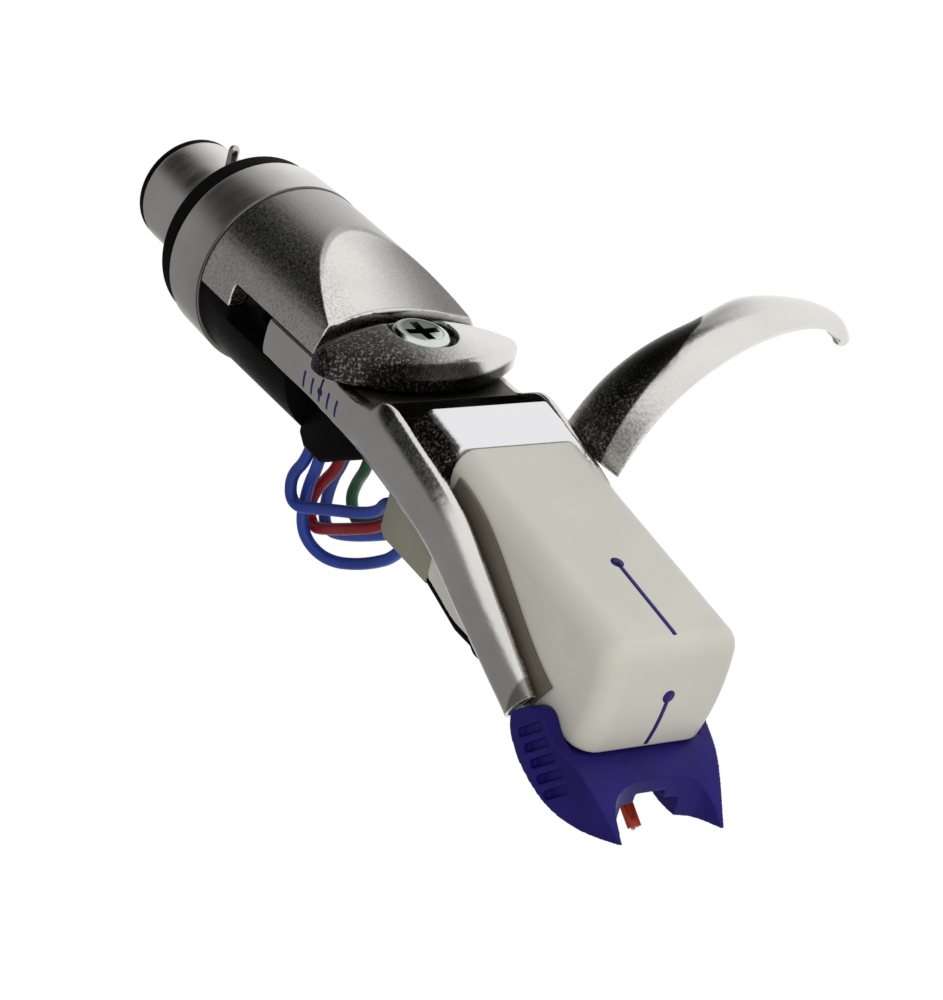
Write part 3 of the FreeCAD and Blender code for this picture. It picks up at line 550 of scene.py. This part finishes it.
def lathe(name, profile, radius, segments=144, centre=(0, 0), axis="y"):
    ring = roundCorner(profile, radius)
    bm = bmesh.new()
    columns = []
    for s in range(segments):
        a = 2 * math.pi * s / segments
        column = []
        for r, along in ring:
            u, v = centre[0] + r * math.sin(a), centre[1] + r * math.cos(a)
            column.append(bm.verts.new(Vector((u, v, along) if axis == "z" else (u, along, v)) * mm))
        columns.append(column)
    for s in range(segments):
        one, two = columns[s], columns[(s + 1) % segments]
        for k in range(len(ring)):
            j = (k + 1) % len(ring)
            if ring[k][0] > 0 or ring[j][0] > 0:
                corners = [one[k], one[j], two[j], two[k]]
                bm.faces.new([v for n, v in enumerate(corners) if v not in corners[:n]])
    bmesh.ops.remove_doubles(bm, verts=bm.verts, dist=1e-7)
    bmesh.ops.dissolve_degenerate(bm, edges=bm.edges, dist=1e-8)
    bmesh.ops.recalc_face_normals(bm, faces=bm.faces)
    return meshObject(name, bm)


# turned pieces: the radius of their small corners, then (r, y) around the profile, in millimetres
connector = {
    "connector_barrel": (0.07, [
        (2.6, -4.0), (3.5, -4.0), (3.5, -1.47), (3.9, -1.47), (3.9, 6.75), (3.84, 6.95), (3.7, 7.05),
        (3.3, 7.05), (3.3, 4.05), (2.6, 4.05)]),
    "contact_insulator": (0.05, [
        (0, -0.4), (2.57, -0.4), (2.57, 4.08), (3.27, 4.08), (3.27, 7.1), (0, 7.1)]),
    "sealing_washer": (0.25, [
        (3.93, -1.5), (6.0, -1.5), (6.2, -1.28), (6.2, -0.22), (6.0, 0), (3.93, 0)]),
    "collar_ring": (0.08, [
        (3.53, -1.5), (6.22, -1.5), (6.42, -1.72), (6.55, -5.6), (6.45, -5.7), (2.6, -5.7), (2.6, -4.0),
        (3.53, -4.0)])}
insulatorRim = {"corner": 0.08, "profile": [
    (0, 7.05), (3.3, 7.05), (3.85, 7.05), (3.85, 7.45), (2.95, 7.45), (2.85, 7.38), (0, 7.38)]}
lockingPin = {"corner": 0.05, "segments": 48, "centre": (0, 3.2), "profile": [
    (0, 2.7), (0.38, 2.7), (0.38, 4.98), (0.34, 5.15), (0.24, 5.28), (0.12, 5.34), (0, 5.35)]}
connectorSet = {"sharp": 50, "collarSeamY": (-5.5, -5.62), "collarSoot": 0.85}


def makeConnector():
    sharp = connectorSet["sharp"]
    turned = {node: standIn(sharpShaded(lathe(pieceName(node), profile, corner), sharp), node)
              for node, (corner, profile) in connector.items()}
    rim = lathe("insulatorRim", insulatorRim["profile"], insulatorRim["corner"])
    dress(sharpShaded(rim, sharp), "contact_insulator")
    # painted shade at the collar's seam with the head
    paint(turned["collar_ring"], "soot",
          lambda x, y, z: ramp(y, *connectorSet["collarSeamY"]) * connectorSet["collarSoot"])
    pin = lathe("bayonetPin", lockingPin["profile"], lockingPin["corner"], lockingPin["segments"],
                lockingPin["centre"], "z")
    standIn(sharpShaded(pin, sharp), "bayonet_pin")


def groupTree(name, sockets):
    tree = bpy.data.node_groups.new(name, "GeometryNodeTree")
    tree.interface.new_socket("Geometry", in_out="OUTPUT", socket_type="NodeSocketGeometry")
    for label, kind in [("Geometry", "NodeSocketGeometry")] + sockets + [("Material", "NodeSocketMaterial")]:
        tree.interface.new_socket(label, in_out="INPUT", socket_type=kind)
    return tree, tree.nodes.new("NodeGroupInput"), tree.nodes.new("NodeGroupOutput")


def copiedOn(points, tree, start):  # the piece on every point, as real geometry
    copies = tree.nodes.new("GeometryNodeInstanceOnPoints")
    real = tree.nodes.new("GeometryNodeRealizeInstances")
    tree.links.new(points, copies.inputs["Points"])
    tree.links.new(start.outputs["Geometry"], copies.inputs["Instance"])
    tree.links.new(copies.outputs[0], real.inputs[0])
    return real.outputs[0]


def endTree(geometry, tree, start, end):
    coated = tree.nodes.new("GeometryNodeSetMaterial")
    tree.links.new(geometry, coated.inputs["Geometry"])
    tree.links.new(start.outputs["Material"], coated.inputs["Material"])
    tree.links.new(coated.outputs[0], end.inputs[0])
    return tree


def runTree(o, tree, values):
    modifier = o.modifiers.new(tree.name, "NODES")
    modifier.node_group = tree
    for item in tree.interface.items_tree:
        if item.item_type == "SOCKET" and item.in_out == "INPUT" and item.name in values:
            modifier[item.identifier] = values[item.name]
    o.update_tag()
    return bake(o)


def ringTree():  # copies of a piece set around the connector's axis
    tree, start, end = groupTree("piecesInARing", [
        ("Count", "NodeSocketInt"), ("First Angle", "NodeSocketFloat"), ("Radius", "NodeSocketFloat")])
    add, link = tree.nodes.new, tree.links.new
    circle = add("GeometryNodeMeshCircle")
    link(start.outputs["Count"], circle.inputs["Vertices"])
    link(start.outputs["Radius"], circle.inputs["Radius"])
    turn = add("GeometryNodeTransform")
    angle = add("ShaderNodeCombineXYZ")
    angle.inputs[0].default_value = math.pi / 2
    link(start.outputs["First Angle"], angle.inputs[1])
    link(circle.outputs[0], turn.inputs["Geometry"])
    link(angle.outputs[0], turn.inputs["Rotation"])
    return endTree(copiedOn(turn.outputs[0], tree, start), tree, start, end)


contacts = {"count": 4, "firstAngle": 45, "ringR": 1.75, "corner": 0.06, "segments": 40, "profile": [
    (0, 1.7), (0.6, 1.7), (0.6, 7.45), (0.52, 7.6), (0.36, 7.68), (0.16, 7.7), (0, 7.7)]}


def makeContacts():
    c = contacts
    o = lathe("connectorContacts", c["profile"], c["corner"], c["segments"])
    runTree(o, ringTree(), {"Count": c["count"], "First Angle": math.radians(c["firstAngle"]),
                            "Radius": c["ringR"] * mm, "Material": finishes["gold"]})
    dress(sharpShaded(o, connectorSet["sharp"]), "contact_pin_1")
    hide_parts(*["contact_pin_%d" % k for k in range(1, c["count"] + 1)])


# (r, z) around the screw; each arm of its cross tapers to the shares in taper
screw = {"centre": (0, -21.3), "top": 4.23, "corner": 0.06, "segments": 96, "sharp": 32,
         "profile": [(0, -0.7), (0.8, -0.7), (0.8, 3.08), (1.95, 3.08), (1.95, 3.81), (1.86, 4.01),
                     (1.66, 4.17), (1.42, 4.23), (1.3, 4.18), (0, 4.11)],
         "armLong": 1.3, "armWide": 0.34, "armDeep": 0.75, "armOver": 0.3, "taper": (0.72, 0.75),
         "crossZ": (0.2, 0.45), "crossShade": 0.95, "shine": (0.6, -0.8), "shineFrom": (0.95, 0.5),
         "rimR": (1.6, 1.35), "faceZ": (0.5, 0.2), "faceShade": 0.85}


def crossArm(turned):
    s = screw
    x, y = s["centre"]
    bm = bmesh.new()
    ring = []
    for long, wide, z in ((s["armLong"] * s["taper"][0], s["armWide"] * s["taper"][1], s["top"] - s["armDeep"]),
                          (s["armLong"], s["armWide"], s["top"] + s["armOver"])):
        for a, b in ((-1, -1), (1, -1), (1, 1), (-1, 1)):
            px, py = (b * wide, a * long) if turned else (a * long, b * wide)
            ring.append(bm.verts.new(Vector((x + px, y + py, z)) * mm))
    for face in ((0, 1, 2, 3), (4, 5, 6, 7), (0, 1, 5, 4), (1, 2, 6, 5), (2, 3, 7, 6), (3, 0, 4, 7)):
        bm.faces.new([ring[k] for k in face])
    bmesh.ops.recalc_face_normals(bm, faces=bm.faces)
    return meshObject("crossArm", bm)


def makeScrew():
    s = screw
    x, y = s["centre"]
    o = lathe("clampScrew", s["profile"], s["corner"], s["segments"], s["centre"], "z")
    for turned in (False, True):
        cutAway(o, crossArm(turned))
    standIn(sharpShaded(o, s["sharp"]), "clamp_screw")

    def soot(px, py, pz):  # painted shade in the cross and on the left of the recess; the front right edge is left bright and shines
        below = s["top"] - pz
        toward = (px - x) * s["shine"][0] + (py - y) * s["shine"][1]
        face = ramp(toward, *s["shineFrom"]) * ramp(math.hypot(px - x, py - y), *s["rimR"])
        return max(ramp(below, *s["crossZ"]) * s["crossShade"],
                   face * s["faceShade"] * ramp(below, *s["faceZ"]))

    paint(o, "soot", soot)


# node and bevel width in millimetres: the small edges that a tool leaves on plates and blocks
bevelled = {
    "shield_strip_left": 0.05, "shield_strip_right": 0.05, "rail_plug_left": 0.05, "rail_plug_right": 0.05,
    "terminal_block": 0.14, "slide_plate": 0.1, "wire_outlet": 0.08, "bottom_plate": 0.06,
    "lower_cover": 0.12, "stylus_blade": 0.05, "clamp_nut": 0.08}
blockSet = {"flatAngle": 0.5, "bevelAngle": 38, "plateSoot": 0.97, "socketNarrow": 0.36,
            "socketZ": (-7.8, -8.0)}


def bevelledPiece(node, width):
    o = mergedCopy(node, pieceName(node))
    flat = o.modifiers.new("flat", "DECIMATE")
    flat.decimate_type = "DISSOLVE"
    flat.angle_limit = math.radians(blockSet["flatAngle"])
    bevel = o.modifiers.new("bevel", "BEVEL")
    bevel.width = width * mm
    bevel.segments = 3
    bevel.limit_method = "ANGLE"
    bevel.angle_limit = math.radians(blockSet["bevelAngle"])
    bake(o)
    return sharpShaded(standIn(o, node))


def makeBlocks():
    blocks = {node: bevelledPiece(node, width) for node, width in bevelled.items()}
    # painted shade: the slide plate is darkened almost to black, as it lies in the window behind the bridge
    paint(blocks["slide_plate"], "soot", lambda x, y, z: blockSet["plateSoot"])
    narrow, down = blockSet["socketNarrow"], blockSet["socketZ"]
    reshape(blocks["bottom_plate"], lambda x, y, z: (x * (1 - narrow * ramp(z, *down)), y, z))


# printed marks: a flat outline beside the surface, thrown onto it along one direction
markSet = {"lift": 0.012, "thick": 0.03, "step": 0.25, "dotSides": 24, "throw": 0.02}


def markTree():
    tree, start, end = groupTree("printedMarks", [
        ("Surface", "NodeSocketObject"), ("Count", "NodeSocketInt"), ("Pitch", "NodeSocketVector"),
        ("Direction", "NodeSocketVector"), ("Lift", "NodeSocketFloat")])
    add, link = tree.nodes.new, tree.links.new
    row = add("GeometryNodeMeshLine")
    row.mode = "OFFSET"
    link(start.outputs["Count"], row.inputs["Count"])
    link(start.outputs["Pitch"], row.inputs["Offset"])
    marks = copiedOn(row.outputs[0], tree, start)
    piece = add("GeometryNodeObjectInfo")
    link(start.outputs["Surface"], piece.inputs["Object"])
    ray = add("GeometryNodeRaycast")
    link(piece.outputs["Geometry"], ray.inputs["Target Geometry"])
    link(start.outputs["Direction"], ray.inputs["Ray Direction"])
    ray.inputs["Ray Length"].default_value = markSet["throw"]
    off = add("ShaderNodeVectorMath")
    off.operation = "SCALE"
    link(start.outputs["Direction"], off.inputs[0])
    link(start.outputs["Lift"], off.inputs["Scale"])
    place = add("ShaderNodeVectorMath")
    place.operation = "SUBTRACT"
    link(ray.outputs["Hit Position"], place.inputs[0])
    link(off.outputs[0], place.inputs[1])
    move = add("GeometryNodeSetPosition")
    link(marks, move.inputs["Geometry"])
    link(ray.outputs["Is Hit"], move.inputs["Selection"])
    link(place.outputs[0], move.inputs["Position"])
    return endTree(move.outputs[0], tree, start, end)


def addStroke(bm, first, last, width, side):
    a, b = Vector(first), Vector(last)
    steps = max(int((b - a).length / markSet["step"]), 2)
    rows = [[bm.verts.new((a.lerp(b, s / steps) + side * width * w) * mm) for w in (-0.5, 0, 0.5)]
            for s in range(steps + 1)]
    for one, two in zip(rows, rows[1:]):
        for k in (0, 1):
            bm.faces.new((one[k], one[k + 1], two[k + 1], two[k]))


def addDot(bm, centre, r, side, other):
    count = markSet["dotSides"]
    middle = bm.verts.new(Vector(centre) * mm)
    angles = [2 * math.pi * k / count for k in range(count)]
    ring = [bm.verts.new((Vector(centre) + (side * math.cos(t) + other * math.sin(t)) * r) * mm)
            for t in angles]
    for k in range(count):
        bm.faces.new((middle, ring[k], ring[(k + 1) % count]))


def printedMark(tree, name, casting, node, across, direction, strokes, dots=(), count=1, pitch=(0, 0, 0)):
    side, ray = Vector(across), Vector(direction)
    bm = bmesh.new()
    for first, last, width in strokes:
        addStroke(bm, first, last, width, side)
    for centre, r in dots:
        addDot(bm, centre, r, side, side.cross(ray))
    for face in bm.faces:
        face.normal_update()
        if face.normal.dot(ray) > 0:
            face.normal_flip()
    o = meshObject(name, bm)
    runTree(o, tree, {"Surface": castings[casting], "Count": count, "Pitch": [c * mm for c in pitch],
                      "Direction": list(direction), "Lift": markSet["lift"] * mm, "Material": inkBlue})
    wall = o.modifiers.new("thick", "SOLIDIFY")
    wall.thickness = markSet["thick"] * mm
    wall.offset = -1
    bake(o)
    dress(o, node, inkBlue)


# name, casting, node, across, direction, strokes as start, end and width, dots as centre and radius
alongY, alongX = (0, 1, 0), (1, 0, 0)
toRight, down, toRear = (1, 0, 0), (0, 0, -1), (0, 1, 0)
marks = [
    ("slideScale", "carrierCasting", "carrier", alongY, toRight,
     [((-9, -19.1, -0.62), (-9, -19.1, 0.5), 0.2)], (), 5, (0, -0.975, 0)),
    ("slideScaleMiddle", "carrierCasting", "carrier", alongY, toRight,
     [((-9, -21.05, 0.4), (-9, -21.05, 0.95), 0.2)], [((-9, -21.05, 0.05), 0.27)]),
    ("headIndex", "headCasting", "head_shell", alongY, toRight,
     [((-9, -20.6, 2.5), (-9, -20.7, 1.65), 0.2)]),
    ("bodyTopLine", "bodyMoulding", "cartridge_body", alongX, down,
     [((0, -44.2, 4), (0, -50.5, 4), 0.3)], [((0, -44.2, 4), 0.42)]),
    ("bodyNoseLine", "bodyMoulding", "cartridge_body", alongX, toRear,
     [((0, -54, -3.57), (0, -54, -7.25), 0.3)], [((0, -54, -3.57), 0.42)])]


def makeMarks():
    tree = markTree()
    for row in marks:
        printedMark(tree, *row)


makeConnector()
makeContacts()
makeScrew()
makeBlocks()
makeMarks()
print("connector, screw, blocks and marks made")

stageSet = {"floorZ": -0.075, "size": 3.0, "floorColor": (0.86, 0.86, 0.86), "floorRough": 0.8, "world": 0.5}


def whiteTo(tree, dim, bright):
    # the camera, metal and glass see plain white, everything else the dim shader
    path = tree.nodes.new("ShaderNodeLightPath")
    share = path.outputs["Is Camera Ray"]
    for ray in ("Is Glossy Ray", "Is Transmission Ray"):
        either = tree.nodes.new("ShaderNodeMath")
        either.operation = "MAXIMUM"
        tree.links.new(share, either.inputs[0])
        tree.links.new(path.outputs[ray], either.inputs[1])
        share = either.outputs[0]
    mix = tree.nodes.new("ShaderNodeMixShader")
    tree.links.new(share, mix.inputs[0])
    tree.links.new(dim.outputs[0], mix.inputs[1])
    tree.links.new(bright.outputs[0], mix.inputs[2])
    return mix


def makeFloor():
    bpy.ops.mesh.primitive_plane_add(size=stageSet["size"], location=(0, 0, stageSet["floorZ"]))
    floor = bpy.context.object
    floor.name = "floor"
    matt = bpy.data.materials.new("floorPaint")
    matt.use_nodes = True
    tree = matt.node_tree
    dim = tree.nodes["Principled BSDF"]
    dim.inputs["Base Color"].default_value = (*stageSet["floorColor"], 1)
    dim.inputs["Roughness"].default_value = stageSet["floorRough"]
    glow = tree.nodes.new("ShaderNodeEmission")
    glow.inputs["Color"].default_value = (1, 1, 1, 1)
    glow.inputs["Strength"].default_value = 1.0
    mix = whiteTo(tree, dim, glow)
    tree.links.new(mix.outputs[0], tree.nodes["Material Output"].inputs["Surface"])
    floor.data.materials.append(matt)
    floor.visible_glossy = False  # the tent's lower half takes its place there


def makeWorld():
    world = bpy.data.worlds.new("studio")
    world.use_nodes = True
    bpy.context.scene.world = world
    tree = world.node_tree
    soft = tree.nodes["Background"]
    soft.inputs["Color"].default_value = (1, 1, 1, 1)
    soft.inputs["Strength"].default_value = stageSet["world"]
    white = tree.nodes.new("ShaderNodeBackground")
    white.inputs["Strength"].default_value = 1.0
    white.inputs["Color"].default_value = (1, 1, 1, 1)
    mix = whiteTo(tree, soft, white)
    tree.links.new(mix.outputs[0], tree.nodes["World Output"].inputs["Surface"])


# what polished surfaces see: a white tent with soft grey and black screens, each given by
# azimuth (from +Y to +X) and elevation in degrees, low and high, its soft edges and its tone
tentSet = {"radius": 0.6, "rings": 72, "columns": 144, "centre": (0, -0.025, 0)}
screens = [
    # azimuth low, high, edges      elevation low, high, edges    tone
    (-118, 2, 22, 38, -95, 22, 1, 16, 0.25),
    (-66, 0, 14, 40, 10, 52, 12, 10, 0.25),
    (-62, -4, 12, 12, 21, 52, 8, 8, 0.0)]


def tentTone(azimuth, elevation):
    tone = 1.0
    for low, high, rise, fall, under, over, lift, drop, shade in screens:
        share = ramp(azimuth, low - rise, low) * ramp(azimuth, high + fall, high)
        share *= ramp(elevation, under - lift, under) * ramp(elevation, over + drop, over)
        tone += (shade - tone) * share
    return tone


def makeTent():
    bpy.ops.mesh.primitive_uv_sphere_add(segments=tentSet["columns"], ring_count=tentSet["rings"],
                                         radius=tentSet["radius"], location=tentSet["centre"])
    tent = bpy.context.object
    tent.name = "tent"
    layer = tent.data.attributes.new("tone", "FLOAT", "POINT")
    for v, item in zip(tent.data.vertices, layer.data):
        x, y, z = v.co.normalized()
        item.value = tentTone(math.degrees(math.atan2(x, y)), math.degrees(math.asin(max(-1, min(1, z)))))
    paper = bpy.data.materials.new("tentPaper")
    paper.use_nodes = True
    paper.cycles.emission_sampling = "NONE"
    tree = paper.node_tree
    glow = tree.nodes.new("ShaderNodeEmission")
    tone = tree.nodes.new("ShaderNodeAttribute")
    tone.attribute_name = "tone"
    tree.links.new(tone.outputs["Fac"], glow.inputs["Strength"])
    tree.links.new(glow.outputs[0], tree.nodes["Material Output"].inputs["Surface"])
    coat(tent, paper)
    for ray in ("camera", "diffuse", "shadow", "transmission", "volume_scatter"):
        setattr(tent, "visible_" + ray, False)


lamps = [
    # name, place, aim, size in metres, watts, colour
    ("overhead", (0.06, -0.16, 0.42), (0, -0.03, 0), 0.42, 0.95, (1.0, 1.0, 0.98)),
    ("frontLeft", (-0.30, -0.42, 0.16), (0, -0.03, 0), 0.26, 1.25, (1.0, 0.94, 0.84)),
    ("right", (0.40, 0.02, 0.26), (0, -0.03, 0), 0.30, 0.8, (1.0, 1.0, 1.0))]


def makeLamps():
    for name, place, aim, size, watts, colour in lamps:
        light = bpy.data.lights.new(name, "AREA")
        light.shape = "SQUARE"
        light.size = size
        light.energy = watts
        light.color = colour
        o = addObject(name, light)
        o.location = place
        o.rotation_euler = (Vector(place) - Vector(aim)).to_track_quat("Z", "Y").to_euler()
        o.visible_glossy = False


makeFloor()
makeWorld()
makeTent()
makeLamps()
bpy.context.scene.view_settings.view_transform = "Standard"
print("floor, tent and lamps set")
